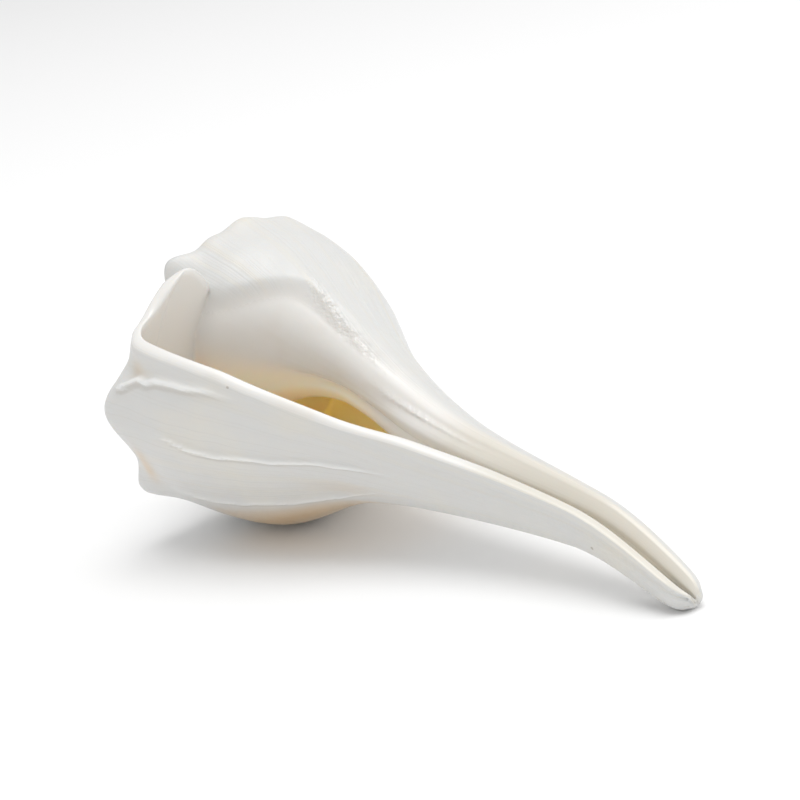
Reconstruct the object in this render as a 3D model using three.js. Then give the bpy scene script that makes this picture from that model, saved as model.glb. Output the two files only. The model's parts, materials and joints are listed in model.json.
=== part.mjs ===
// A left-handed whelk shell, one piece grown as a single coiled tube with walls.
// Units are millimetres, +Z is up, and the shell rests on its back with its opening upwards.
import * as THREE from "three";
import { mergeVertices } from "three/addons/utils/BufferGeometryUtils.js";

const TURN = 2 * Math.PI;
const DEG = Math.PI / 180;

// ---------------------------------------------------------------- how the shell grows
const GROWTH_PER_TURN = 1.86;
const SPIRE_TURNS = 2.5;

// Places along the outline are numbered as stations, from the suture to the canal's tip.
const SHOULDER_STATION = 3.6;
const SUTURE_STATION = 6;
const STATION_STEP = 0.5;
const CANAL_STARTS = 7;
const CANAL_FULL = 16.5;

// Outline of the newest strip: [station, distance from the tip of the spire, radius]. It runs
// over the sloping ramp, round the shoulder, down the body and along the canal. Its first point
// sits on the turn before, so it is the suture point made smaller by one turn.
const SUTURE = [41, 50];
const OUTLINE = [
  [0, SUTURE[0] / GROWTH_PER_TURN, SUTURE[1] / GROWTH_PER_TURN], [2, 23, 43], [3, 25, 48],
  [5, 33, 51], [SUTURE_STATION, ...SUTURE], [8, 65, 42], [10, 92, 26], [12, 118, 16.5],
  [14, 153, 10], [16, 182, 6], [17, 185, 3],
];
const LAST_STATION = 17;

// How many degrees the lip runs ahead: most on the ramp, little on the body, some on the canal.
const LIP_STATIONS = [0, 2, 3.6, 5.5, 9.5, 11, 13, 17];
const LIP_SWEEP = [40, 32, 12, 7, 7, 13, 16, 12];
// Stations past the suture over which a turn still follows the slant of the turn on top of it.
const SWEEP_REACH = 3;
// The lip draws in at the shoulder's corner: depth, station, half length, and growth angles.
const LIP_PINCH = 7;
const PINCH_STATION = 2.6;
const PINCH_LENGTH = 1.8;
const PINCH_ANGLES = [-16, 6];

// The canal droops towards its tip: distance from the spire tip, and drop.
const BEND_AT = [60, 110, 150, 190];
const BEND_DROP = [0, 4, 3, 11];

// Section of the canal: radius as a share of the lip radius, against growth angle in degrees.
const CANAL_ANGLES = [-360, -330, -285, -240, -120, -60, 0, 60];
const CANAL_SHARES = [0.12, 0.24, 0.5, 0.6, 0.66, 0.83, 1, 1.15];
// Stations over which the coil's section turns into the canal's.
const CANAL_FOLD = 4.5;

// The pillar swells where the canal leaves the body: height, station and half length.
const PILLAR_SWELL = 2.5;
const PILLAR_STATION = 11.6;
const PILLAR_LENGTH = 1.1;
// The floor of the canal rises with the pillar, by this share of the lip radius.
const CANAL_FLOOR = 0.17;
const FLOOR_STATIONS = [11, 13];
// Angles past the lip between which the pillar fades out, towards the lip and away from it.
const PILLAR_NEAR = [70, 20];
const PILLAR_FAR = [-170, -110];
// The middle of the coil lies to one side along the canal, by this share of the lip radius.
const PILLAR_SHIFT = 0.2;
const SHIFT_STATIONS = [11.5, 14.5];
const SHIFT_ANGLES = [-200, -330];

// Shoulder knobs of one turn: [growth angle in degrees, height, half width in degrees].
const KNOBS = [
  [-17, 3.5, 11], [-50, 5.5, 9], [-69, 1.5, 6], [-102, 3, 13], [-140, 3, 12],
  [-180, 3, 12], [-220, 3, 12], [-256, 3, 11], [-280, 4, 11], [-300, 3, 9], [-322, 9, 11], [-350, 4, 8],
];
const KNOB_LENGTH = 1.2;
// Knobs lean towards the spire, and stand less high on the inside of the wall.
const KNOB_LEAN = 0.5;
const KNOB_INSIDE = 0.6;

// Low swellings on the back of the body whorl, left by pauses in growth:
// [station, growth angle in degrees, height, half length in stations, half width in degrees].
const SWELLS = [
  [8, -80, 3.5, 1.6, 26], [7, -120, 3.4, 2, 13],
];

// The inner wall beside the opening is hollowed below a crease: crease angle and depth by station.
const CREASE_STATIONS = [5, 7, 8.5, 11];
const CREASE_ANGLES = [36, 44, 85, 100];
const HOLLOW_STATIONS = [5.8, 6.8, 9, 11, 13];
const HOLLOW_DEPTHS = [0, 4, 5.5, 2, 0];
const CREASE_FADE = -20;
const HOLLOW_ENDS = -100;

// ---------------------------------------------------------------- wall and opening
const WALL = 2.6;
const RAMP_WALL = 3.4;
const RAMP_WALL_STATIONS = [2.5, 5];
// The wall is never thicker than this share of the lip radius.
const MOST_WALL = 0.35;
// Stations between which the ramp stops facing the spire.
const RAMP_FACES = [4.5, 2];
const LEAST_RADIUS = 0.3;
// How far the opening runs in, round the coil: in the mouth, and along the canal.
const OPENING_DEPTH = 240 * DEG;
const CANAL_DEPTH = 120 * DEG;
const DEPTH_STATIONS = [8.5, 13];
// Slanted edge of the lip: width, how much wider it is at the shoulder's corner, and its most.
const EDGE_WIDTH = 2.1;
const CORNER_EXTRA = 2;
const CORNER_STATION = 2.8;
const CORNER_LENGTH = 1.3;
const MOST_BEVEL = 0.14;
// Stations over which the back of the outer wall leaves the suture.
const SEAM_REACH = 1.5;
const SPIRE_NOSE = 1.2;

// ---------------------------------------------------------------- how it lies at rest
const REST_ROLL = -14.2;
const REST_PITCH = 11.5;

// ---------------------------------------------------------------- fineness and plain look
const STEPS_PER_TURN = 48;
const INNER_STEPS = 20;
const MERGE_DISTANCE = 1e-3;
const SHELL_WHITE = 0xece9e2;
const SHELL_ROUGHNESS = 0.35;

function smooth(from, to, value) {
  const q = Math.min(1, Math.max(0, (value - from) / (to - from)));
  return q * q * (3 - 2 * q);
}

// Shape-keeping cubic through a list of points, held constant outside them.
function curve(xs, ys) {
  const last = xs.length - 1;
  const width = [];
  const slope = [];
  for (let i = 0; i < last; i += 1) {
    width.push(xs[i + 1] - xs[i]);
    slope.push((ys[i + 1] - ys[i]) / width[i]);
  }
  const tangent = [slope[0]];
  for (let i = 1; i < last; i += 1) {
    if (slope[i - 1] * slope[i] <= 0) {
      tangent.push(0);
    } else {
      const a = 2 * width[i] + width[i - 1];
      const b = width[i] + 2 * width[i - 1];
      tangent.push((a + b) / (a / slope[i - 1] + b / slope[i]));
    }
  }
  tangent.push(slope[last - 1]);
  return (x) => {
    const at = Math.min(xs[last], Math.max(xs[0], x));
    let i = 0;
    while (i < last - 1 && at > xs[i + 1]) {
      i += 1;
    }
    const h = width[i];
    const q = (at - xs[i]) / h;
    const rise = (3 - 2 * q) * q * q;
    const bowA = q * (1 - q) * (1 - q) * h;
    const bowB = q * q * (q - 1) * h;
    return ys[i] * (1 - rise) + ys[i + 1] * rise + tangent[i] * bowA + tangent[i + 1] * bowB;
  };
}

const stationNumbers = OUTLINE.map((point) => point[0]);
const alongAxis = curve(stationNumbers, OUTLINE.map((point) => point[1]));
const lipRadius = curve(stationNumbers, OUTLINE.map((point) => point[2]));
const lipSweep = curve(LIP_STATIONS, LIP_SWEEP);
const bendDrop = curve(BEND_AT, BEND_DROP);
const canalShare = curve(CANAL_ANGLES, CANAL_SHARES);
const creaseAngle = curve(CREASE_STATIONS, CREASE_ANGLES);
const hollowDepth = curve(HOLLOW_STATIONS, HOLLOW_DEPTHS);

// Growth angle of the material line t at a station: growth lines lean, the coil does not.
function growthAngle(u, t) {
  const fade = (a) => (a <= 0 ? smooth(-Math.PI, 0, a) : 1 - smooth(0, Math.PI / 2, a));
  const ahead = lipSweep(u) * fade(t);
  const rise = smooth(0, SUTURE_STATION, u);
  const fall = 1 - smooth(SUTURE_STATION, SUTURE_STATION + SWEEP_REACH, u);
  const behind = LIP_SWEEP[0] * (u < SUTURE_STATION ? rise : fall) * fade(t + TURN);
  return t + (ahead + behind) * DEG;
}

function knobHeight(u, angle) {
  let height = 0;
  for (const turnsBack of [0, 1, 2]) {
    for (const [at, tall, wide] of KNOBS) {
      height += tall * Math.exp(-(((angle / DEG + 360 * turnsBack - at) / wide) ** 2));
    }
  }
  return height * Math.exp(-(((u - SHOULDER_STATION) / KNOB_LENGTH) ** 2));
}

function swellHeight(u, degrees) {
  let height = 0;
  for (const [station, at, tall, long, wide] of SWELLS) {
    height += tall * Math.exp(-(((u - station) / long) ** 2) - ((degrees - at) / wide) ** 2);
  }
  return height;
}

function wallAt(u) {
  const body = RAMP_WALL + (WALL - RAMP_WALL) * smooth(...RAMP_WALL_STATIONS, u);
  return Math.min(body, MOST_WALL * lipRadius(u));
}

// A point of the coiled surface; x runs along the coiling axis, inset moves it inwards.
function surface(u, t, inset = 0) {
  const angle = growthAngle(u, t);
  const scale = GROWTH_PER_TURN ** (angle / TURN);
  const lip = lipRadius(u);
  const blend = smooth(CANAL_STARTS, CANAL_FULL, u);
  const coiled = scale * lip;
  const folded = lip * canalShare(angle / DEG);
  const canal = smooth(CANAL_STARTS, CANAL_STARTS + CANAL_FOLD, u);
  let x = (scale + (1 - scale) * blend) * alongAxis(u);
  let radius = coiled * (1 - canal) + folded * canal;

  const knob = scale * knobHeight(u, angle) * (inset > 0 ? KNOB_INSIDE : 1);
  radius += knob;
  x -= KNOB_LEAN * knob;
  radius += swellHeight(u, angle / DEG);

  const degrees = angle / DEG;
  const pinch = LIP_PINCH * Math.exp(-(((u - PINCH_STATION) / PINCH_LENGTH) ** 2));
  radius -= pinch * smooth(...PINCH_ANGLES, degrees);

  const past = degrees + 360;
  const belowCrease = smooth(0, CREASE_FADE, past - creaseAngle(u));
  radius -= hollowDepth(u) * belowCrease * smooth(HOLLOW_ENDS, 0, past);
  const onPillar = smooth(...PILLAR_NEAR, past) * smooth(...PILLAR_FAR, past);
  const neck = PILLAR_SWELL * Math.exp(-(((u - PILLAR_STATION) / PILLAR_LENGTH) ** 2));
  const floor = CANAL_FLOOR * lip * smooth(...FLOOR_STATIONS, u);
  radius += (neck + floor) * onPillar;

  // The wall's thickness points along the axis on the ramp, and across it everywhere else.
  const facingSpire = smooth(...RAMP_FACES, u);
  x += inset * facingSpire;
  radius = Math.max(radius - inset * Math.sqrt(1 - facingSpire ** 2), LEAST_RADIUS);

  const aside = smooth(...SHIFT_STATIONS, u) * smooth(...SHIFT_ANGLES, degrees);
  const y = -radius * Math.cos(angle) + PILLAR_SHIFT * lip * aside;
  const z = radius * Math.sin(angle) - bendDrop(x);
  return new THREE.Vector3(x, y, z);
}

// ---------------------------------------------------------------- building the skin
const positions = [];
const triangles = [];

function addPoint(point) {
  positions.push(point.x, point.y, point.z);
  return positions.length / 3 - 1;
}

function addGrid(rows) {
  return rows.map((row) => row.map(addPoint));
}

function addTriangle(a, b, c) {
  triangles.push(a, b, c);
}

function skin(grid, outward) {
  for (let i = 0; i < grid.length - 1; i += 1) {
    for (let j = 0; j < grid[i].length - 1; j += 1) {
      const a = grid[i][j];
      const b = grid[i + 1][j];
      const c = grid[i + 1][j + 1];
      const d = grid[i][j + 1];
      if (outward) {
        addTriangle(a, b, c);
        addTriangle(a, c, d);
      } else {
        addTriangle(a, c, b);
        addTriangle(a, d, c);
      }
    }
  }
}

function steps(from, to, count) {
  return Array.from({ length: count + 1 }, (_, i) => from + ((to - from) * i) / count);
}

const allStations = steps(0, LAST_STATION, LAST_STATION / STATION_STEP);
const spireStations = allStations.filter((u) => u <= SUTURE_STATION);
const innerStart = SUTURE_STATION + STATION_STEP;
const innerStations = allStations.filter((u) => u >= innerStart);

function depthAt(u) {
  return OPENING_DEPTH + (CANAL_DEPTH - OPENING_DEPTH) * smooth(...DEPTH_STATIONS, u);
}

// The lip's edge is cut at a slant, so its inner corner runs ahead by this angle.
function lipBevel(u) {
  const corner = Math.exp(-(((u - CORNER_STATION) / CORNER_LENGTH) ** 2));
  return Math.min((EDGE_WIDTH + CORNER_EXTRA * corner) / lipRadius(u), MOST_BEVEL);
}

// Outside of the last turn, and of the older turns that show on the spire.
const lastTurn = steps(-TURN, 0, STEPS_PER_TURN);
const olderTurns = steps(-TURN * (1 + SPIRE_TURNS), -TURN, STEPS_PER_TURN * SPIRE_TURNS);
const outside = allStations.map((u) => lastTurn.map((t) => surface(u, t)));
const spire = spireStations.map((u) => olderTurns.map((t) => surface(u, t)));

// Each turn starts exactly on the suture line drawn on the turn before it.
const suture = spire[spire.length - 1];
const joined = suture.length - 1 - STEPS_PER_TURN;
for (let j = 0; j <= STEPS_PER_TURN; j += 1) {
  outside[0][j] = suture[joined + j];
}
for (let j = STEPS_PER_TURN; j < suture.length; j += 1) {
  spire[0][j] = suture[j - STEPS_PER_TURN];
}

// Inside of the opening: the older whorl seen through it, and the back of the outer wall.
const inward = steps(0, 1, INNER_STEPS);
const oldWall = innerStations.map((u) => inward.map((s) => surface(u, -TURN - depthAt(u) * s)));
const sutureLine = inward.map((s) => surface(innerStart, -TURN - OPENING_DEPTH * s));
const backWall = allStations.map((u) => inward.map((s, j) => {
  const point = surface(u, lipBevel(u) * (1 - s) - depthAt(u) * s, wallAt(u));
  return sutureLine[j].clone().lerp(point, smooth(0, SEAM_REACH, u));
}));

// ---------------------------------------------------------------- closing the skin
skin(addGrid(outside), true);
skin(addGrid(spire), true);
skin(addGrid(oldWall), false);
skin(addGrid(backWall), true);

// The flat edge of the lip.
const lipOuter = outside.map((row) => row[row.length - 1]);
const lipInner = backWall.map((row) => row[0]);
skin(addGrid([lipOuter, lipInner]), false);

// Fill a loop of points with flat triangles; flat gives each point its place on a plane.
function fill(loop, flat, outward) {
  const contour = loop.map(flat);
  const places = loop.map(addPoint);
  for (const [a, b, c] of THREE.ShapeUtils.triangulateShape(contour, [])) {
    const p = contour[a];
    const q = contour[b];
    const r = contour[c];
    const turns = (q.x - p.x) * (r.y - p.y) - (q.y - p.y) * (r.x - p.x);
    if (turns > 0 === outward) {
      addTriangle(places[a], places[b], places[c]);
    } else {
      addTriangle(places[a], places[c], places[b]);
    }
  }
}

// The cut end of the canal, a curled strip in section.
const tipOuter = outside[outside.length - 1];
const tipBack = backWall[backWall.length - 1];
const tipOld = oldWall[oldWall.length - 1];
const tipLoop = [...tipOuter, ...tipBack, ...[...tipOld].reverse().slice(0, -1)];
fill(tipLoop, (point) => new THREE.Vector2(point.y, point.z), true);

// The far end of the opening, round the corner from the lip.
const deepBack = backWall.map((row) => row[row.length - 1]);
const deepOld = oldWall.map((row) => row[row.length - 1]);
const deepLoop = [...deepBack, ...[...deepOld].reverse().slice(0, -1)];
fill(deepLoop, (point) => new THREE.Vector2(point.x, Math.hypot(point.y, point.z)), false);

// The tip of the spire.
const firstTurn = spire[0].slice(0, STEPS_PER_TURN + 1);
const firstEnd = spire.map((row) => row[0]).slice(1, -1).reverse();
const nose = addPoint(new THREE.Vector3(SPIRE_NOSE, 0, 0));
const tipRing = [...firstTurn, ...firstEnd].map(addPoint);
for (let i = 0; i < tipRing.length; i += 1) {
  addTriangle(nose, tipRing[i], tipRing[(i + 1) % tipRing.length]);
}

let geometry = new THREE.BufferGeometry();
geometry.setAttribute("position", new THREE.Float32BufferAttribute(positions, 3));
geometry.setIndex(triangles);
geometry = mergeVertices(geometry, MERGE_DISTANCE);

// Drop the slivers left where points coincide.
const index = geometry.getIndex().array;
const kept = [];
for (let i = 0; i < index.length; i += 3) {
  const [a, b, c] = [index[i], index[i + 1], index[i + 2]];
  if (a !== b && b !== c && c !== a) {
    kept.push(a, b, c);
  }
}
geometry.setIndex(kept);

// Lay the shell down: roll about the coiling axis, pitch, then set it on the ground.
geometry.rotateX(REST_ROLL * DEG);
geometry.rotateY(REST_PITCH * DEG);
geometry.computeBoundingBox();
const box = geometry.boundingBox;
geometry.translate(
  -(box.min.x + box.max.x) / 2,
  -(box.min.y + box.max.y) / 2,
  -box.min.z,
);
geometry.computeVertexNormals();

const material = new THREE.MeshStandardMaterial({
  color: SHELL_WHITE,
  roughness: SHELL_ROUGHNESS,
  metalness: 0,
});
const shell = new THREE.Mesh(geometry, material);
shell.name = "shell";

const group = new THREE.Group();
group.name = "left_handed_whelk_shell";
group.add(shell);

export default group;
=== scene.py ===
# %% [markdown]
# # A left-handed whelk shell
#
# A whelk builds its shell by adding a narrow strip of lime to the edge of a tube, year after
# year. The tube gets wider at a steady rate and turns about a straight axis as it grows, so
# the whole shell is one formula: a strip's outline, made bigger and turned. This scene draws
# that formula finely, adds growth lines, knobs and pits, and gives it a bleached, glossy finish.

# %% Load the frame
import json
import math

import bmesh
import bpy
import numpy as np
from mathutils import Matrix, Vector

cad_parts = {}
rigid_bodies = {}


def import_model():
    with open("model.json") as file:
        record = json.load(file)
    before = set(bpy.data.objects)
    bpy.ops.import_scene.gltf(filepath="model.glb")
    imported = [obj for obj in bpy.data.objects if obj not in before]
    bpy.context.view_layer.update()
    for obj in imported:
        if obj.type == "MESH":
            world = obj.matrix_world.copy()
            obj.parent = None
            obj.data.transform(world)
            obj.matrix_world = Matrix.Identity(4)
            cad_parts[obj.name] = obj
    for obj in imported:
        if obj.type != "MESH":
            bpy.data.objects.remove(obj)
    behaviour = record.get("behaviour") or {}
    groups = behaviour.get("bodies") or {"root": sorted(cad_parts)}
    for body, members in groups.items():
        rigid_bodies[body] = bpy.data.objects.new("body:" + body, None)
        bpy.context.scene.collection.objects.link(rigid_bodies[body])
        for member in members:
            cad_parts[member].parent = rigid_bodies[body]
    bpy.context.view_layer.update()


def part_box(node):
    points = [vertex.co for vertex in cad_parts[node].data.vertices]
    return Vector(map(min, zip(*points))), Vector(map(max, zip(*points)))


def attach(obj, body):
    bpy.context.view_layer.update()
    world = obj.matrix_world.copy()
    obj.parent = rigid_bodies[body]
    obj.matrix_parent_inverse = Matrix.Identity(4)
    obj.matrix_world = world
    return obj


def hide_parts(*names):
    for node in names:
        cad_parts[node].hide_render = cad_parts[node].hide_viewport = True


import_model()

TURN = 2 * math.pi
DEG = math.pi / 180
MM = 0.001
low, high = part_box("shell")
print("CAD box in mm:", [round(v / MM, 1) for v in (*low, *high)])

# %% [markdown]
# ## Three small tools for drawing by numbers
#
# `smooth` fades from 0 to 1 without a corner, and `bell` is a smooth bump. `curve` draws a line
# through a few given points that never overshoots them, which suits a shell's outline better
# than a plain spline, because a spline would add waves between the points.

# %% Smooth steps and curves
def smooth(start, end, value):
    q = np.clip((value - start) / (end - start), 0, 1)
    return q * q * (3 - 2 * q)


def bell(x, middle, width):
    return np.exp(-(((x - middle) / width) ** 2))


def curve(xs, ys):
    xs, ys = np.array(xs, float), np.array(ys, float)
    width = np.diff(xs)
    slope = np.diff(ys) / width
    tangent = np.concatenate([slope[:1], np.zeros(len(slope) - 1), slope[-1:]])
    for i in range(1, len(slope)):
        if slope[i - 1] * slope[i] > 0:
            a = 2 * width[i] + width[i - 1]
            b = width[i] + 2 * width[i - 1]
            tangent[i] = (a + b) / (a / slope[i - 1] + b / slope[i])

    def at(x):
        x = np.clip(x, xs[0], xs[-1])
        i = np.clip(np.searchsorted(xs, x) - 1, 0, len(slope) - 1)
        h = width[i]
        q = (x - xs[i]) / h
        rise = (3 - 2 * q) * q * q
        bow_a = q * (1 - q) ** 2 * h
        bow_b = q * q * (q - 1) * h
        return ys[i] * (1 - rise) + ys[i + 1] * rise + tangent[i] * bow_a + tangent[i + 1] * bow_b

    return at


# %% [markdown]
# ## How this shell grows
#
# All lengths here are millimetres, measured from the tip of the spire along the coiling axis.
# The outline is that of the newest strip, the outer lip. It could be drawn as a spline object,
# but a short list of points is easier to read: ramp, shoulder, body, then the long canal.
# Places along it are numbered as stations, and the shoulder is at station 3.6. A turn meets
# the one before it at the suture, station 6; past that the shell is open inside.

# %% Growth numbers
GROWTH_PER_TURN = 1.86
SPIRE_TURNS = 2.5
SHOULDER_STATION = 3.6
SUTURE_STATION = 6
SUTURE = (41, 50)
# station, distance from the tip of the spire, radius; the first sits on the turn before
OUTLINE = [
    (0, SUTURE[0] / GROWTH_PER_TURN, SUTURE[1] / GROWTH_PER_TURN), (2, 23, 43), (3, 25, 48),
    (5, 33, 51), (SUTURE_STATION, *SUTURE), (8, 65, 42), (10, 92, 26), (12, 118, 16.5),
    (14, 153, 10), (16, 182, 6), (17, 185, 3),
]
LAST_STATION = OUTLINE[-1][0]

stations = [p[0] for p in OUTLINE]
along_axis = curve(stations, [p[1] for p in OUTLINE])
lip_radius = curve(stations, [p[2] for p in OUTLINE])
print("Last turn is", GROWTH_PER_TURN, "times the size of the one before")

# %% [markdown]
# ## Lip, canal and inner wall
#
# The lip doesn't end on a straight line: it runs ahead on the ramp and along the canal, and
# draws in at the shoulder's corner. The canal is folded and not coiled, so its section has its
# own curve, blended in past the body. The inner wall is hollowed below a crease, and swells
# into a pillar where the canal begins. Each of these is a curve by station, or by growth angle
# in degrees, because cutting them into a finished mesh would leave edges.

# %% Lip and canal
# how many degrees the lip runs ahead: most on the ramp, little on the body, some on the canal
lip_sweep = curve([0, 2, 3.6, 5.5, 9.5, 11, 13, 17], [40, 32, 12, 7, 7, 13, 16, 12])
# how many stations past the suture a turn still follows the slant of the turn on top of it
SWEEP_REACH = 3
LIP_PINCH, PINCH_STATION, PINCH_LENGTH = 7, 2.6, 1.8
PINCH_ANGLES = (-16 * DEG, 6 * DEG)

# the canal droops: distance from the tip of the spire, and drop
bend_drop = curve([60, 110, 150, 190], [0, 4, 3, 11])
CANAL_STARTS, CANAL_FOLD, CANAL_FULL = 7, 4.5, 16.5
# how far out the canal's wall lies, as a share of its lip radius, by growth angle
CANAL_ANGLES = [-360, -330, -285, -240, -120, -60, 0, 60]
canal_share = curve(CANAL_ANGLES, [0.12, 0.24, 0.5, 0.6, 0.66, 0.83, 1, 1.15])

# %% Inner wall and pillar
crease_angle = curve([5, 7, 8.5, 11], [36, 44, 85, 100])
hollow_depth = curve([5.8, 6.8, 9, 11, 13], [0, 4, 5.5, 2, 0])
# the hollow deepens in two steps below the crease, and ends far round the pillar
CREASE_FADES = (-16 * DEG, -70 * DEG)
HOLLOW_ENDS = -100 * DEG

PILLAR_SWELL, PILLAR_STATION, PILLAR_LENGTH = 2.5, 11.6, 1.1
PILLAR_NEAR, PILLAR_FAR = (70 * DEG, 20 * DEG), (-170 * DEG, -110 * DEG)
# shares of the lip radius: how far the canal's floor rises, and how far the pillar lies aside
CANAL_FLOOR, FLOOR_STATIONS = 0.17, (11, 13)
PILLAR_SHIFT, SHIFT_STATIONS = 0.2, (11.5, 14.5)
SHIFT_ANGLES = (-200 * DEG, -330 * DEG)
print("Crease runs from %.0f to %.0f degrees past the lip" % (crease_angle(5), crease_angle(11)))


# %% [markdown]
# ## Knobs and swellings
#
# Each time this kind of whelk rests from growing it leaves a blunt knob on the shoulder. They
# are lumps in the strip's outline, so they are added to the radius before anything is drawn,
# and an older turn repeats them smaller. Sculpting them on afterwards would break that rhythm.

# %% Knobs and swellings
# growth angle in degrees, height, half width in degrees
KNOBS = [
    (-17, 3.5, 11), (-50, 5.5, 9), (-69, 1.5, 6), (-102, 3, 13), (-140, 3, 12), (-180, 3, 12),
    (-220, 3, 12), (-256, 3, 11), (-280, 4, 11), (-300, 3, 9), (-322, 9, 11), (-350, 4, 8),
]
# knobs lean towards the spire, and stand less high on the inside of the wall
KNOB_LENGTH, KNOB_LEAN, KNOB_INSIDE = 1.2, 0.5, 0.6
# height, then station, growth angle, half length in stations and half width in degrees
SWELLS = [(3.5, 8, -80, 1.6, 26), (3.4, 7, -120, 2, 13), (-1.6, 5.1, 0, 0.7, 4)]


def spot(u, degrees, station, at, long, wide):
    return np.exp(-(((u - station) / long) ** 2) - ((degrees - at) / wide) ** 2)


def knob_height(u, angle):
    height = 0
    for turns_back in (0, 1, 2):
        for at, tall, wide in KNOBS:
            height = height + tall * bell(angle / DEG + 360 * turns_back, at, wide)
    return height * bell(u, SHOULDER_STATION, KNOB_LENGTH)


def swell_height(u, degrees):
    return sum(tall * spot(u, degrees, *where) for tall, *where in SWELLS)


print(len(KNOBS), "knobs a turn, up to", max(tall for _, tall, _ in KNOBS), "mm high")


# %% [markdown]
# ## The growth formula
#
# `growth_angle` says how far round the axis a strip lies: growth lines lean forward at the
# suture and along the canal. `surface` gives the point at a station and a strip, and can
# step inwards by the thickness of the wall to draw the inside of the mouth. A profile swept
# along a spiral would look much the same, but only a formula gives every point its own growth
# angle, which the relief and the finish need.

# %% The coiled surface
RAMP_FACES = (4.5, 2)
LEAST_RADIUS = 0.3


def growth_angle(u, t):
    def fade(a):
        return np.where(a <= 0, smooth(-math.pi, 0, a), 1 - smooth(0, math.pi / 2, a))

    rise = smooth(0, SUTURE_STATION, u)
    fall = 1 - smooth(SUTURE_STATION, SUTURE_STATION + SWEEP_REACH, u)
    behind = lip_sweep(0) * np.where(u < SUTURE_STATION, rise, fall)
    return t + DEG * (lip_sweep(u) * fade(t) + behind * fade(t + TURN))


def surface(u, t, inset=0.0):
    u, t = np.broadcast_arrays(np.asarray(u, float), np.asarray(t, float))
    angle = growth_angle(u, t)
    scale = GROWTH_PER_TURN ** (angle / TURN)
    lip = lip_radius(u)
    blend = smooth(CANAL_STARTS, CANAL_FULL, u)
    canal = smooth(CANAL_STARTS, CANAL_STARTS + CANAL_FOLD, u)
    radius = scale * lip * (1 - canal) + lip * canal_share(angle / DEG) * canal
    x = (scale + (1 - scale) * blend) * along_axis(u)

    knob = scale * knob_height(u, angle) * np.where(np.asarray(inset) > 0, KNOB_INSIDE, 1)
    radius = radius + knob + swell_height(u, angle / DEG)
    x = x - KNOB_LEAN * knob
    pinch = LIP_PINCH * bell(u, PINCH_STATION, PINCH_LENGTH)
    radius = radius - pinch * smooth(*PINCH_ANGLES, angle)

    past = angle + TURN
    under = past - crease_angle(u) * DEG
    below_crease = sum(smooth(0, fade, under) for fade in CREASE_FADES) / len(CREASE_FADES)
    radius = radius - hollow_depth(u) * below_crease * smooth(HOLLOW_ENDS, 0, past)
    on_pillar = smooth(*PILLAR_NEAR, past) * smooth(*PILLAR_FAR, past)
    swell = PILLAR_SWELL * bell(u, PILLAR_STATION, PILLAR_LENGTH)
    radius = radius + (swell + CANAL_FLOOR * lip * smooth(*FLOOR_STATIONS, u)) * on_pillar

    # on the ramp the wall's thickness points along the axis, elsewhere across it
    facing_spire = smooth(*RAMP_FACES, u)
    x = x + inset * facing_spire
    radius = np.maximum(radius - inset * np.sqrt(1 - facing_spire ** 2), LEAST_RADIUS)
    shift = PILLAR_SHIFT * lip * smooth(*SHIFT_STATIONS, u) * smooth(*SHIFT_ANGLES, angle)
    y = -radius * np.cos(angle) + shift
    z = radius * np.sin(angle) - bend_drop(x)
    return np.stack([x, y, z], -1)


print("Lip corner in mm:", surface(SHOULDER_STATION, 0).round(1))


# %% [markdown]
# ## Growth lines
#
# Up close the outside is never smooth: every pause in growth leaves a fine line that runs the
# length of the strip. They could be a bump texture alone, but then the shell's outline would
# stay too clean, so the coarser ones are real relief of up to 0.4 mm and only the finest are left
# to the material. `wander` is a smooth random line, one value every `step`.

# %% A smooth random line
RANDOM_COUNT = 4096
random_line = np.random.default_rng(11).uniform(-1, 1, RANDOM_COUNT)


def wander(x, step, start=0):
    place = x / step + start
    i = np.floor(place).astype(int)
    f = place - i
    f = f * f * (3 - 2 * f)
    return random_line[i % RANDOM_COUNT] * (1 - f) + random_line[(i + 1) % RANDOM_COUNT] * f


print("Random line runs from %.2f to %.2f" % (random_line.min(), random_line.max()))

# %% [markdown]
# ## Welts
#
# A longer pause leaves a welt, a low ridge that follows the old lip; the newest one meets the
# lip near its corner. Curves laid on the surface could carry them, but a ridge added to the
# relief has no seam. The colour adds a painted highlight along each ridge and a painted shadow behind it.

# %% Welts left by longer pauses
# stations, growth angles there, height in mm, half width in degrees
WELTS = [
    ([4.4, 5.6, 7.6], [-8, -2.5, 2.5], 1.1, 1.3),
    ([6.4, 7.5, 10.6], [-19, -22, -13], 0.8, 1.2),
    ([6.2, 9.2, 10.6], [-47, -50, -34], 0.6, 1.3),
]
WELT_WOBBLE = 0.7
# half width in degrees of the painted highlight and painted shadow, how far behind the highlight the
# shadow lies, and how strong the shadow is
HIGHLIGHT_WIDTH, SHADOW_BEHIND, SHADOW_SHARE = 0.9, 1.6, 0.7
STEP_SHARE, STEP_WIDTH = 0.3, 3


def welts_at(u, degrees):
    for at_stations, at_angles, tall, wide in WELTS:
        start, end = at_stations[0], at_stations[-1]
        fades = smooth(start - 0.5, start + 0.5, u) * smooth(end + 0.8, end - 0.8, u)
        wobble = WELT_WOBBLE * wander(u, 0.35, 700)
        yield degrees - curve(at_stations, at_angles)(u) - wobble, tall * fades, wide


def welt_relief(u, degrees):
    height = 0
    for ahead, strength, wide in welts_at(u, degrees):
        step = STEP_SHARE * smooth(0, STEP_WIDTH, ahead)
        height = height + strength * (bell(ahead, 0, wide) - step)
    return height


# painted highlight along each welt's crest, minus a painted shadow just behind it
def welt_highlight_and_shadow_at(u, degrees):
    line = 0
    for ahead, strength, _ in welts_at(u, degrees):
        welt_shadow = SHADOW_SHARE * bell(ahead, -SHADOW_BEHIND, HIGHLIGHT_WIDTH)
        line = line + strength * (bell(ahead, 0, HIGHLIGHT_WIDTH) - welt_shadow)
    return line


print(len(WELTS), "welts, up to", max(tall for _, _, tall, _ in WELTS), "mm high")

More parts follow.
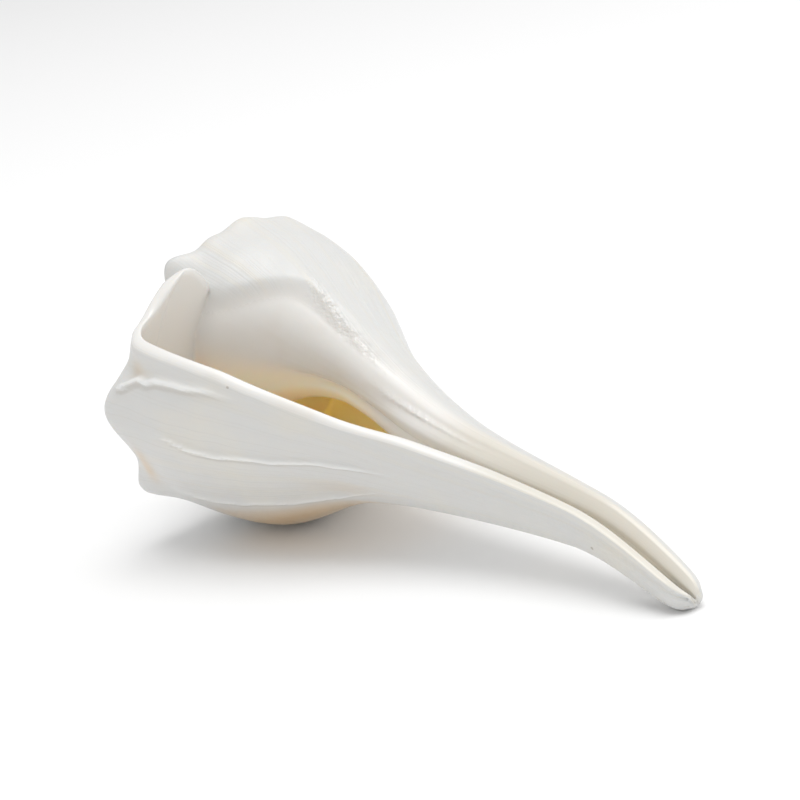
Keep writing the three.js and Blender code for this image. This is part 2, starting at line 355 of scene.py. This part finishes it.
# %% [markdown]
# ## All the relief together
#
# Growth lines come in three sizes, are fainter on the older side, and shrink with the older
# turns. The worn ridge beside the mouth is wrinkled. Glaze has filled most of the relief below
# the crease, so it fades out there. Each could be a layer of its own, but one sum is lifted
# along the surface only once.

# %% Relief of the outside
# height in mm, spacing in degrees, where on the random line it starts
GROWTH_LINES = [(0.10, 3.4, 100), (0.10, 7, 300), (0.16, 19, 500)]
OLD_SIDE_SHARE = 0.6
WRINKLE_HEIGHT, WRINKLE_SPOT = 0.9, (9, -246, 1.1, 14)
UNDER_GLAZE = 0.15


def growth_relief(u, t):
    degrees = growth_angle(u, t) / DEG
    lean = degrees + 1.2 * wander(u, 1.3, 40) + 0.5 * wander(u, 0.4, 90)
    lines = sum(tall * wander(lean, spacing, start) for tall, spacing, start in GROWTH_LINES)
    lines = lines * (OLD_SIDE_SHARE + (1 - OLD_SIDE_SHARE) * smooth(-120, 0, degrees))
    wrinkles = WRINKLE_HEIGHT * wander(lean, 2.2, 900) * wander(u, 0.5, 60)
    lines = lines + wrinkles * spot(u, degrees, *WRINKLE_SPOT)
    size = np.clip(GROWTH_PER_TURN ** (degrees / 360), 0.1, 1.1)
    bare = 1 - smooth(8, -8, degrees + 360 - crease_angle(u)) * smooth(5.8, 6.8, u)
    height = lines * size + welt_relief(u, degrees)
    return height * (UNDER_GLAZE + (1 - UNDER_GLAZE) * bare)


# %% [markdown]
# ## Sheets of the shell
#
# The shell is drawn as a few grids that share their edges: the outside of the last turn, the
# older turns of the spire, the old wall seen through the mouth, the back of the outer wall and
# the edge of the lip. One closed skin results, as on the real shell, with wall between the
# outside and the inside. Stations are spaced evenly by length, so all faces are about one size.

# %% Thickness of the wall, slant of the lip and depth of the opening
WALL, RAMP_WALL = 2.6, 3.4
RAMP_WALL_STATIONS = (2.5, 5)
MOST_WALL = 0.35
OPENING_DEPTH, CANAL_DEPTH = 240 * DEG, 120 * DEG
DEPTH_STATIONS = (8.5, 13)
EDGE_WIDTH, CORNER_EXTRA, CORNER_STATION, CORNER_LENGTH = 2.1, 2, 2.8, 1.3
MOST_BEVEL = 0.14


def wall_at(u):
    body = RAMP_WALL + (WALL - RAMP_WALL) * smooth(*RAMP_WALL_STATIONS, u)
    return np.minimum(body, MOST_WALL * lip_radius(u))


def lip_bevel(u):
    wide = EDGE_WIDTH + CORNER_EXTRA * bell(u, CORNER_STATION, CORNER_LENGTH)
    return np.minimum(wide / lip_radius(u), MOST_BEVEL)


def depth_at(u):
    return OPENING_DEPTH + (CANAL_DEPTH - OPENING_DEPTH) * smooth(*DEPTH_STATIONS, u)


print("Wall on the ramp and the body: %.1f and %.1f mm" % (wall_at(1), wall_at(SUTURE_STATION)))

# %% Where the grid lines run
# the grids inside the mouth start just past the suture
INNER_START = 6.5
ROUND_STEPS, SPIRE_STATIONS, INNER_STATIONS, MOUTH_STEPS = 320, 30, 103, 70


def even_stations(first, last, count):
    fine = np.linspace(first, last, 2000)
    x, r = along_axis(fine), lip_radius(fine)
    length = np.concatenate([[0], np.cumsum(np.hypot(np.diff(x), np.diff(r)))])
    return np.interp(np.linspace(0, length[-1], count), length, fine)


spire_u = even_stations(0, SUTURE_STATION, SPIRE_STATIONS)
mouth_u = even_stations(INNER_START, LAST_STATION, INNER_STATIONS)
all_u = np.concatenate([spire_u, [(SUTURE_STATION + INNER_START) / 2], mouth_u])
last_t = np.linspace(-TURN, 0, ROUND_STEPS + 1)
old_t = np.linspace(-TURN * (1 + SPIRE_TURNS), -TURN, int(ROUND_STEPS * SPIRE_TURNS) + 1)
inward = np.linspace(0, 1, MOUTH_STEPS)
print(len(all_u), "stations,", ROUND_STEPS, "steps a turn")


# %% Draw the outside and the spire
def raised(u, t):
    points = surface(u[:, None], t[None, :])
    normal = np.cross(np.gradient(points, axis=0), np.gradient(points, axis=1))
    normal /= np.linalg.norm(normal, axis=2, keepdims=True) + 1e-9
    lift = growth_relief(u[:, None], t[None, :])
    return points + normal * lift[..., None]


outside = raised(all_u, last_t)
spire = raised(spire_u, old_t)
joined = len(old_t) - 1 - ROUND_STEPS
outside[: len(spire_u), 0] = spire[:, -1]
outside[0] = spire[-1, joined:]
spire[0, ROUND_STEPS:] = spire[-1, : len(old_t) - ROUND_STEPS]
print("Outside and spire grids:", outside.shape[:2], spire.shape[:2])

# %% Draw the two walls inside the mouth
SEAM_REACH = 1.5
old_strips = -TURN - depth_at(mouth_u)[:, None] * inward
old_wall = surface(mouth_u[:, None], old_strips)
old_wall[:, 0] = outside[len(spire_u) + 1:, 0]

back_strips = lip_bevel(all_u)[:, None] * (1 - inward) - depth_at(all_u)[:, None] * inward
back_wall = surface(all_u[:, None], back_strips, wall_at(all_u)[:, None])
# the back wall leaves the suture along the first row of the old wall
leaves_seam = smooth(0, SEAM_REACH, all_u)[:, None, None]
back_wall = old_wall[0] * (1 - leaves_seam) + back_wall * leaves_seam
print("Old wall and back wall grids:", old_wall.shape[:2], back_wall.shape[:2])

# %% [markdown]
# ## The edge of the lip
#
# The lip of a grown whelk is a blunt band as wide as the wall. A flat strip would leave two
# knife corners, so the band swells a little towards the middle and rounds off at both sides.

# %% Draw the lip edge
EDGE_STEPS = 8
EDGE_BULGE = 0.16


def lip_edge():
    outer, inner = outside[:, -1], back_wall[:, 0]
    ahead = outer - outside[:, -3]
    ahead /= np.linalg.norm(ahead, axis=1, keepdims=True)
    across = np.linspace(0, 1, EDGE_STEPS + 1)
    width = np.linalg.norm(inner - outer, axis=1)[:, None]
    bulge = EDGE_BULGE * width * (1 - np.abs(2 * across - 1) ** 3)
    flat = outer[:, None] * (1 - across[None, :, None]) + inner[:, None] * across[None, :, None]
    return flat + ahead[:, None] * bulge[..., None]


lip = lip_edge()
corner = lip[np.argmin(np.abs(all_u - SHOULDER_STATION))]
print("Lip edge is %.1f mm wide at the shoulder" % np.linalg.norm(corner[0] - corner[-1]))


# %% [markdown]
# ## Laying the shell on its back
#
# The formula works along the coiling axis. The shell itself rests on its back with its mouth
# upwards, rolled and pitched a little until its back and the tip of its canal touch. The object
# could be turned instead, but here each point is, by the same two angles as the CAD part, and
# set in the middle of its box, so the mesh needs no transform of its own.

# %% Turn to the resting position
REST_ROLL = -14.2
REST_PITCH = 11.5
pitch = Matrix.Rotation(REST_PITCH * DEG, 3, "Y")
roll = Matrix.Rotation(REST_ROLL * DEG, 3, "X")
rest_turn = np.array(pitch @ roll)
grids = [outside, spire, old_wall, back_wall, lip]
everything = np.concatenate([g.reshape(-1, 3) for g in grids]) @ rest_turn.T
middle = (everything.min(0) + everything.max(0)) / 2
middle[2] = everything[:, 2].min()
box_middle = np.array([(low.x + high.x) / 2, (low.y + high.y) / 2, low.z])


def at_rest(points):
    return (points @ rest_turn.T - middle) * MM + box_middle


print("Size at rest in mm:", (everything.max(0) - everything.min(0)).round(1))

# %% [markdown]
# ## Marks carried by the surface
#
# The finish needs to know where it is on the shell, not only where it is in space. Each point
# carries a few numbers: its growth angle, its station, and how much glaze, stain, peach, orange
# or wear it has, and where the welts' painted highlight and painted shadow lie. The stain mark
# also holds painted shade on the underside and in a hollow by the lip, and peach and orange are
# partly a painted glow. A painted image could hold the same, but marks need no image and no unwrap.
# `deep` is 1 on the back of the outer wall, which is glazed all over, and 0 elsewhere.

# %% Marks for the finish
# how strong, then station, growth angle, half length in stations and half width in degrees
# real stains, except the spot at station 5.3 and 0 degrees, which is painted shade in the hollow beside
# the lip
STAIN_AND_SHADE_SPOTS = [(0.6, 5, -36, 0.5, 9), (0.4, 5.3, 0, 0.6, 4), (0.4, 8.4, -68, 1.3, 9), (0.3, 9.9, -36, 1, 8)]
# painted shade: a darker band on the body's lower side, which turns away towards the floor
SHADED_UNDERSIDE = 0.45
WORN_SPOTS = [(9.3, -278, 1.1, 5), (11.7, -304, 0.8, 6)]


# stain spots plus painted shade on the underside and in the hollow by the lip
def stain_and_shade_at(u, degrees):
    spots = sum(strength * spot(u, degrees, *where) for strength, *where in STAIN_AND_SHADE_SPOTS)
    back = SHADED_UNDERSIDE * smooth(-47, -60, degrees) * smooth(5.8, 7, u) * smooth(11.5, 10, u)
    return np.clip((spots + back) * smooth(-200, -120, degrees), 0, 1)


def marks_for(u, angle, deep):
    u, angle, deep = np.broadcast_arrays(u, angle, deep)
    degrees = angle / DEG
    past = degrees + 360
    on_body = smooth(11.8, 10.2, u)
    return dict(
        growth=angle / TURN,
        station=u,
        glaze=np.maximum(deep, smooth(0, -16, past - crease_angle(u)) * smooth(6, 6.6, u)),
        # real stains plus painted shade
        stain_and_shade=stain_and_shade_at(u, degrees) * (1 - deep),
        # peach and orange deepen into the mouth: a warm tint, painted lighter than the white inside as a
        # painted glow of light through the thin wall
        peach_tint_and_glow=np.where(deep > 0.5, smooth(-15, -70, degrees), smooth(22, -30, past)) * on_body,
        orange_tint_and_glow=np.where(deep > 0.5, smooth(-70, -130, degrees), smooth(-30, -66, past)) * on_body,
        # the welts' painted highlight and painted shadow
        welt_highlight_and_shadow=welt_highlight_and_shadow_at(u, degrees),
        worn=sum(spot(u, degrees, *where) for where in WORN_SPOTS),
    )


# %% Mark every sheet
strips = [(all_u, last_t, 0.0), (spire_u, old_t, 0.0), (mouth_u, old_strips, 0.0),
          (all_u, back_strips, 1.0)]
marks = [marks_for(u[:, None], growth_angle(u[:, None], t), deep) for u, t, deep in strips]
# the lip's edge takes the marks of the strip beside it, and both are as glossy as the inside
marks[0]["glaze"][:, -1] = 1
marks.append({name: values[:, -1:] for name, values in marks[0].items()})
print("Marks on the surface:", ", ".join(marks[0]))

# %% [markdown]
# ## Sewing the sheets into one skin
#
# The sheets are laid into one mesh, points that coincide are merged, and the holes left at the
# tip of the spire, the tip of the canal and the far end of the mouth are closed. Five separate
# objects would look the same, but one closed skin has an inside for light to scatter in.

# %% Build the mesh
def build_skin():
    corners, faces, start = [], [], 0
    for grid, flip in zip(grids, (False, False, True, False, True)):
        rows, columns = grid.shape[:2]
        number = np.arange(rows * columns).reshape(rows, columns) + start
        a, b = number[:-1, :-1], number[1:, :-1]
        c, d = number[1:, 1:], number[:-1, 1:]
        quad = [a, d, c, b] if flip else [a, b, c, d]
        faces.append(np.stack(quad, -1).reshape(-1, 4))
        corners.append(grid.reshape(-1, 3))
        start += rows * columns
    mesh = bpy.data.meshes.new("whelk_shell")
    mesh.from_pydata(at_rest(np.concatenate(corners)).tolist(), [], np.concatenate(faces).tolist())
    for name in marks[0]:
        values = np.concatenate([np.broadcast_to(m[name], g.shape[:2]).reshape(-1)
                                 for m, g in zip(marks, grids)])
        attribute = mesh.attributes.new(name, "FLOAT", "POINT")
        attribute.data.foreach_set("value", values.astype(np.float32))
    return mesh


skin = build_skin()
print("Sheets laid in one mesh:", len(skin.vertices), "points")

# %% Close the mesh
SAME_PLACE, NO_LENGTH = 2e-6, 1e-7
work = bmesh.new()
work.from_mesh(skin)
bmesh.ops.remove_doubles(work, verts=work.verts, dist=SAME_PLACE)
bmesh.ops.dissolve_degenerate(work, edges=work.edges, dist=NO_LENGTH)
holes = [e for e in work.edges if e.is_boundary]
closed = bmesh.ops.holes_fill(work, edges=holes, sides=0)
bmesh.ops.triangulate(work, faces=closed["faces"])
bmesh.ops.recalc_face_normals(work, faces=work.faces)
open_edges = sum(1 for e in work.edges if not e.is_manifold)
work.to_mesh(skin)
work.free()
skin.shade_smooth()
shell = bpy.data.objects.new("whelk_shell", skin)
bpy.context.collection.objects.link(shell)
triangles = sum(len(p.vertices) - 2 for p in skin.polygons)
print("Skin:", triangles, "triangles,", open_edges, "edges not closed")

# %% [markdown]
# ## Bleached shell
#
# The wall is aragonite, a form of lime laid down in thin crossed layers. Months of sun and
# sea take out the colour and leave a warm white that is glossy where the glaze lasts. The base
# could be plain white, but real bleached shell keeps faint cream clouds and darker growth lines,
# and its mouth shows a peach tint that deepens to orange further in. That tint is painted lighter
# than the white inside, as a painted glow for light that comes through the thin wall. The tan
# stain colour also paints shade on the underside and in a hollow by the lip. The canal gets
# painted shade, and each welt gets a painted highlight with a painted shadow behind it.

# %% Colours and a node helper
def linear(hex_colour):
    parts = [int(hex_colour[i:i + 2], 16) / 255 for i in (1, 3, 5)]
    return tuple(p / 12.92 if p <= 0.04045 else ((p + 0.055) / 1.055) ** 2.4 for p in parts) + (1,)


def add(tree, kind, links=None, **settings):
    node = tree.nodes.new(kind)
    for name, value in settings.items():
        setattr(node, name, value)
    for socket, source in (links or {}).items():
        target = node.inputs[socket]
        if isinstance(source, bpy.types.NodeSocket):
            tree.links.new(source, target)
        else:
            target.default_value = source
    return node


# %% Bleached shell material: patterns
bleached = bpy.data.materials.new("bleached_aragonite_shell")
bleached.use_nodes = True
tree = bleached.node_tree
tree.nodes.clear()

mark = {}
for name in marks[0]:
    mark[name] = add(tree, "ShaderNodeAttribute", attribute_name=name).outputs["Fac"]

# A 3D noise repeats about once per 1 / scale metres, so a size in metres gives its scale.
CLOUD_SIZE, MOTTLE_SIZE, CHIP_SIZE, PIT_SPACING = 22 * MM, 5 * MM, 2.2 * MM, 16 * MM
NOISES = (("clouds", CLOUD_SIZE, 3.0), ("mottle", MOTTLE_SIZE, 4.0), ("chips", CHIP_SIZE, 2.0))
place = add(tree, "ShaderNodeTexCoord").outputs["Object"]
pattern = {}
for name, size, detail in NOISES:
    links = {"Vector": place, "Scale": 1 / size, "Detail": detail}
    pattern[name] = add(tree, "ShaderNodeTexNoise", links).outputs["Fac"]
voronoi = add(tree, "ShaderNodeTexVoronoi", {"Vector": place, "Scale": 1 / PIT_SPACING})
pits = voronoi.outputs["Distance"]
print("Patterns in space:", ", ".join(pattern), "and pits")

# %% Bleached shell material: growth lines
# One degree of growth is about 0.8 mm at the lip, and the finest lines are about as close.
LINE_DEGREES, BAND_DEGREES, SWAY_DEGREES = 1.1, 8, 5.0
links = {0: mark["growth"], 1: 360.0}
degrees = add(tree, "ShaderNodeMath", links, operation="MULTIPLY").outputs[0]
links = {0: pattern["clouds"], 1: SWAY_DEGREES, 2: degrees}
sway = add(tree, "ShaderNodeMath", links, operation="MULTIPLY_ADD")
for name, spacing in (("lines", LINE_DEGREES), ("bands", BAND_DEGREES)):
    links = {"W": sway.outputs[0], "Scale": 1 / spacing, "Detail": 3.0}
    pattern[name] = add(tree, "ShaderNodeTexNoise", links, noise_dimensions="1D").outputs["Fac"]
print("Patterns by growth: one line each %.1f degrees, one band each %.0f" % (LINE_DEGREES, BAND_DEGREES))

# %% Bleached shell material: how much of each colour
# share: source, where it starts, where it is full, the most it may be
SHARES = {
    "clouds": (pattern["clouds"], 0.46, 0.74, 0.55),
    "lines": (pattern["lines"], 0.50, 0.74, 0.5),
    "bands": (pattern["bands"], 0.52, 0.76, 0.5),
    "pits": (pits, 0.035, 0.02, 0.75),
    # stains, and painted shade on the underside and in the hollow by the lip
    "stain_and_shade": (mark["stain_and_shade"], 0.0, 1.0, 0.9),
    # painted shade over the inside of the canal
    "canal_shade": (mark["station"], 11.8, 12.8, 0.8),
    # painted highlight along each welt, then the painted shadow behind it
    "welt_highlight_and_shadow": (mark["welt_highlight_and_shadow"], 0.0, 0.8, 0.8),
    "welt_shadow": (mark["welt_highlight_and_shadow"], 0.0, -0.5, 0.5),
    # warm tint plus painted glow deeper in the mouth
    "peach_tint_and_glow": (mark["peach_tint_and_glow"], 0.0, 1.0, 0.9),
    "orange_tint_and_glow": (mark["orange_tint_and_glow"], 0.0, 1.0, 0.95),
    "veil": (pattern["clouds"], 0.52, 0.66, 0.3),
}
share = {}
for name, (source, start, full, most) in SHARES.items():
    links = {"Value": source, "From Min": start, "From Max": full, "To Max": most}
    ramp = add(tree, "ShaderNodeMapRange", links, interpolation_type="SMOOTHSTEP")
    share[name] = ramp.outputs["Result"]
print("Shares:", ", ".join(share))

# %% Bleached shell material: colour
# sockets 6 and 7 of a mix node are its two colours, and output 2 is the mixed one
OUTER_WHITE, INNER_WHITE = "#D6D6D4", "#E8E6E2"
# the stain colour also paints shade on the underside and in the hollow by the lip
# the welt colours are a painted highlight and a painted shadow
OUTER_COLOURS = (("clouds", "#DEDACF"), ("bands", "#DAD5C9"), ("lines", "#D0CFCB"), ("stain_and_shade", "#D2B58C"),
                 ("pits", "#A39B8F"), ("welt_highlight_and_shadow", "#F8F8F6"), ("welt_shadow", "#B9B6B0"))
# peach and orange are lighter than the inner white: a warm tint plus a painted glow
# the canal colour is painted shade
INNER_COLOURS = (("veil", "#DED6CA"), ("canal_shade", "#DDD8CC"), ("peach_tint_and_glow", "#FFEFD6"), ("orange_tint_and_glow", "#FFE0B8"))

outer = linear(OUTER_WHITE)
for name, hex_colour in OUTER_COLOURS:
    links = {0: share[name], 6: outer, 7: linear(hex_colour)}
    outer = add(tree, "ShaderNodeMix", links, data_type="RGBA").outputs[2]
inner = linear(INNER_WHITE)
for name, hex_colour in INNER_COLOURS:
    links = {0: share[name], 6: inner, 7: linear(hex_colour)}
    inner = add(tree, "ShaderNodeMix", links, data_type="RGBA").outputs[2]
links = {0: mark["glaze"], 6: outer, 7: inner}
colour = add(tree, "ShaderNodeMix", links, data_type="RGBA").outputs[2]
print("Colours:", OUTER_WHITE, "outside and", INNER_WHITE, "inside, under", len(share), "layers")

# %% Bleached shell material: gloss and fine relief
# Weathered shell is satin, about 0.4 rough; the glaze is glossier and the worn ridge most of all.
SATIN, MATT, GLAZED, RUBBED = 0.34, 0.5, 0.27, 0.14
links = {"Value": pattern["mottle"], "From Min": 0.35, "From Max": 0.7, "To Min": SATIN, "To Max": MATT}
matt = add(tree, "ShaderNodeMapRange", links).outputs["Result"]
links = {0: mark["glaze"], 2: matt, 3: GLAZED}
satin = add(tree, "ShaderNodeMix", links, data_type="FLOAT").outputs[0]
links = {0: mark["worn"], 2: satin, 3: RUBBED}
rough = add(tree, "ShaderNodeMix", links, data_type="FLOAT").outputs[0]

links = {0: pattern["lines"], 1: pattern["mottle"]}
grain = add(tree, "ShaderNodeMath", links, operation="ADD").outputs[0]
links = {0: mark["glaze"], 2: grain, 3: 1.0}
grain = add(tree, "ShaderNodeMix", links, data_type="FLOAT").outputs[0]
fine = add(tree, "ShaderNodeBump", {"Strength": 0.35, "Distance": 0.25 * MM, "Height": grain})
links = {0: pattern["chips"], 1: mark["worn"]}
chipped = add(tree, "ShaderNodeMath", links, operation="MULTIPLY").outputs[0]
links = {"Strength": 0.8, "Distance": 1 * MM, "Height": chipped, "Normal": fine.outputs["Normal"]}
bump = add(tree, "ShaderNodeBump", links)
print("Roughness runs from", RUBBED, "to", MATT)

# %% Bleached shell material: light in the wall
# Light comes through the thin wall round the mouth, so it scatters more there.
LITTLE_LIGHT, MUCH_LIGHT = 0.15, 0.9
links = {0: mark["peach_tint_and_glow"], 1: mark["orange_tint_and_glow"]}
warm = add(tree, "ShaderNodeMath", links, operation="MAXIMUM").outputs[0]
links = {"Value": warm, "To Min": LITTLE_LIGHT, "To Max": MUCH_LIGHT}
through = add(tree, "ShaderNodeMapRange", links).outputs["Result"]
lime = add(tree, "ShaderNodeBsdfPrincipled", {
    "Base Color": colour, "Roughness": rough, "Normal": bump.outputs["Normal"], "IOR": 1.56,
    "Subsurface Weight": through, "Subsurface Scale": 9 * MM, "Subsurface Radius": (1.0, 0.75, 0.55),
})
add(tree, "ShaderNodeOutputMaterial", {"Surface": lime.outputs["BSDF"]})
shell.data.materials.append(bleached)
print("Material:", bleached.name, "with", len(tree.nodes), "nodes")

# %% [markdown]
# ## Tie the shell to its frame
#
# The shell is one body that nothing joins, so it rides on the root and stands in for the CAD
# solid. Keeping both would draw the wall twice.

# %% Ride and replace
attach(shell, "root")
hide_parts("shell")
print(shell.name, "rides on root and replaces shell")

# %% [markdown]
# ## Studio
#
# A plain pale floor, an even pale surround, one large soft light overhead and a small weak one
# to the side give the gentle shading of a product table. Hard lights would print sharp
# shadows on a white shell.

# %% Floor
HALF_FLOOR = 3.0


def studio_floor():
    mesh = bpy.data.meshes.new("studio_floor")
    corners = [(x * HALF_FLOOR, y * HALF_FLOOR, 0) for x, y in ((-1, -1), (1, -1), (1, 1), (-1, 1))]
    mesh.from_pydata(corners, [], [(0, 1, 2, 3)])
    floor = bpy.data.objects.new("studio_floor", mesh)
    bpy.context.collection.objects.link(floor)
    paper = bpy.data.materials.new("pale_paper")
    paper.use_nodes = True
    shader = paper.node_tree.nodes["Principled BSDF"]
    shader.inputs["Base Color"].default_value = linear("#F8F8F8")
    shader.inputs["Roughness"].default_value = 0.9
    mesh.materials.append(paper)
    return floor


floor = studio_floor()
print("Floor is", 2 * HALF_FLOOR, "m wide")

# %% Lights and surround
SURROUND_STRENGTH = 0.66
AIM_POINT = (0, 0, 0.03)
world = bpy.data.worlds.new("studio_surround")
bpy.context.scene.world = world
world.use_nodes = True
world.node_tree.nodes["Background"].inputs["Color"].default_value = (1, 1, 1, 1)
world.node_tree.nodes["Background"].inputs["Strength"].default_value = SURROUND_STRENGTH


def soft_light(name, place, size, power):
    lamp = bpy.data.lights.new(name, "AREA")
    lamp.shape, lamp.size, lamp.energy = "DISK", size, power
    holder = bpy.data.objects.new(name, lamp)
    holder.location = place
    holder.rotation_euler = (Vector(AIM_POINT) - Vector(place)).to_track_quat("-Z", "Y").to_euler()
    bpy.context.collection.objects.link(holder)


soft_light("top_softbox", (0.2, 0, 2.0), size=1.6, power=21)
soft_light("side_softbox", (0.9, 1.2, 0.7), size=0.8, power=5)
bpy.context.scene.view_settings.view_transform = "Standard"
print("Lights:", ", ".join(lamp.name for lamp in bpy.data.lights))

# %% [markdown]
# ## Camera
#
# The camera looks down on the shell from the canal's side, low enough to see over the lip into
# the mouth. Its place is worked out from two angles and a distance, and it is tipped a little
# about its own line of sight. A target object to track would do the same with one more object.
# The lens is the one that shows `VIEW_WIDTH` metres from side to side at the shell.

# %% Camera
AZIMUTH, ELEVATION, TIP = 53.4 * DEG, 17.3 * DEG, -10.4 * DEG
DISTANCE, SENSOR_WIDTH = 0.6, 36
VIEW_WIDTH = 0.1995
aim = Vector((-0.0068, 0.0042, 0.0372))
level = math.cos(ELEVATION)
back = Vector((math.sin(AZIMUTH) * level, -math.cos(AZIMUTH) * level, math.sin(ELEVATION)))
right = Vector((math.cos(AZIMUTH), math.sin(AZIMUTH), 0))
up = back.cross(right)
tipped_right = right * math.cos(TIP) + up * math.sin(TIP)
tipped_up = up * math.cos(TIP) - right * math.sin(TIP)
camera = bpy.data.objects.new("camera", bpy.data.cameras.new("camera"))
camera.data.sensor_width = SENSOR_WIDTH
camera.data.lens = SENSOR_WIDTH * DISTANCE / VIEW_WIDTH
camera.data.clip_start = 0.01
turn = Matrix((tipped_right, tipped_up, back)).transposed().to_4x4()
camera.matrix_world = Matrix.Translation(aim + back * DISTANCE) @ turn
bpy.context.collection.objects.link(camera)
bpy.context.scene.camera = camera
print("Lens %.0f mm at %.2f m" % (camera.data.lens, DISTANCE))
